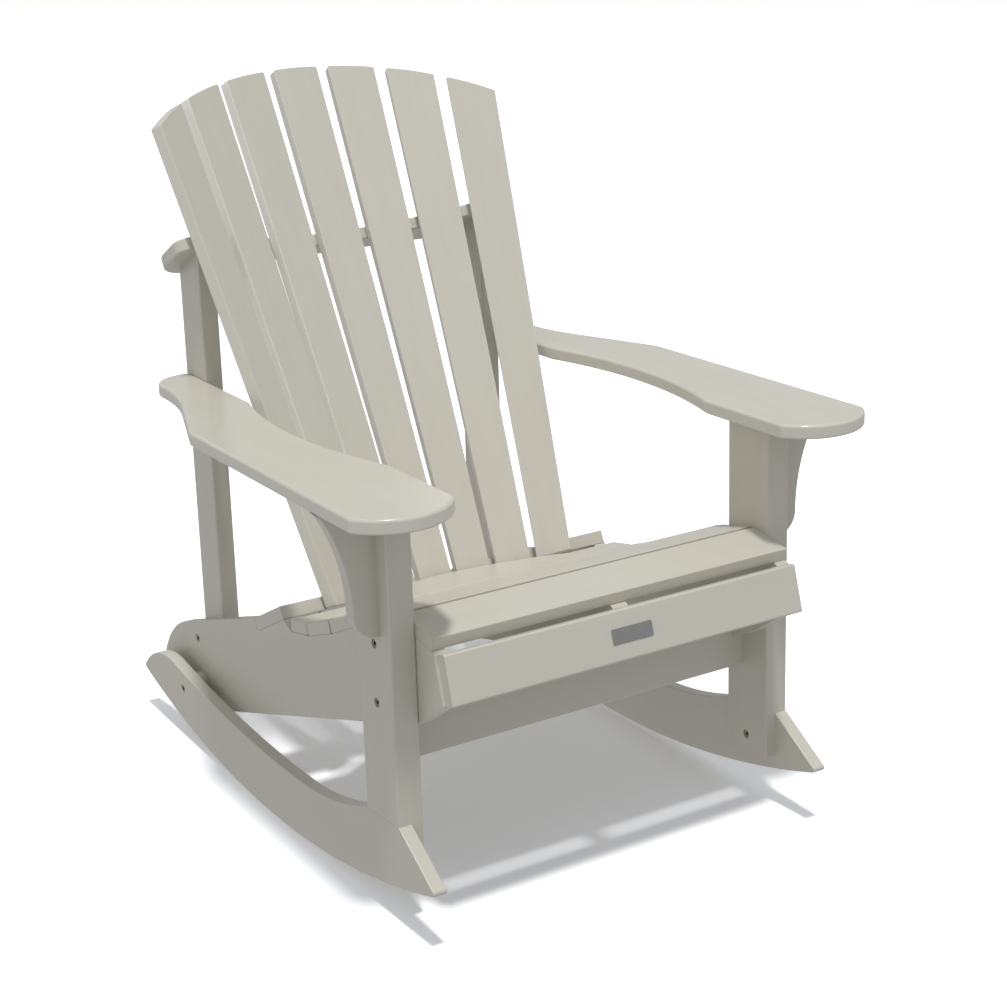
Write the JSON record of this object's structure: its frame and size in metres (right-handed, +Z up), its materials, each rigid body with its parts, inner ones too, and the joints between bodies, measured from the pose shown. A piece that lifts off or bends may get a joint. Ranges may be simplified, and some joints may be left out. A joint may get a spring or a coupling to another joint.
{
  "type": "rocking adirondack chair",
  "caption": "Garden rocking chair with a curved fan back, broad arms, contoured slatted seat and long curved rockers.",
  "frame": {"origin": "on the floor, under the middle of the chair's bounding box", "axes": "+Z up; -Y the way the seat faces; +X to the right as seen from the front"},
  "size_m": [0.8, 0.966, 1.0338],
  "materials": {
    "board": "matte moulded plastic lumber with a faint grain along each board",
    "plate": "satin grey plate, blank",
    "hardware": "dull bronze-toned steel"
  },
  "bodies": {
    "root": {"rocker_left": "board", "rocker_right": "board", "front_leg_left": "board", "front_leg_right": "board", "side_rail_left": "board", "side_rail_right": "board", "rear_post_left": "board", "rear_post_right": "board", "arm_left": "board", "arm_right": "board", "arm_bracket_left": "board", "arm_bracket_right": "board", "seat_rib": "board", "front_apron": "board", "name_plate": "plate", "front_stretcher": "board", "lower_back_rail": "board", "upper_back_rail": "board", "seat_slat_1": "board", "seat_slat_2": "board", "seat_slat_3": "board", "seat_slat_4": "board", "seat_slat_5": "board", "seat_slat_6": "board", "back_slat_1": "board", "back_slat_2": "board", "back_slat_3": "board", "back_slat_4": "board", "back_slat_5": "board", "back_slat_6": "board", "back_slat_7": "board", "rocker_spacers": "board", "leg_bolts": "hardware", "foot_bolts": "hardware", "rocker_bolts": "hardware", "post_bolts": "hardware", "leg_nuts": "hardware", "rocker_nuts": "hardware", "post_nuts": "hardware", "arm_screws": "hardware", "bracket_screws": "hardware", "stretcher_screws": "hardware", "apron_screws": "hardware", "seat_screws": "hardware", "lower_back_screws": "hardware", "upper_back_screws": "hardware"}
  },
  "joints": []
}
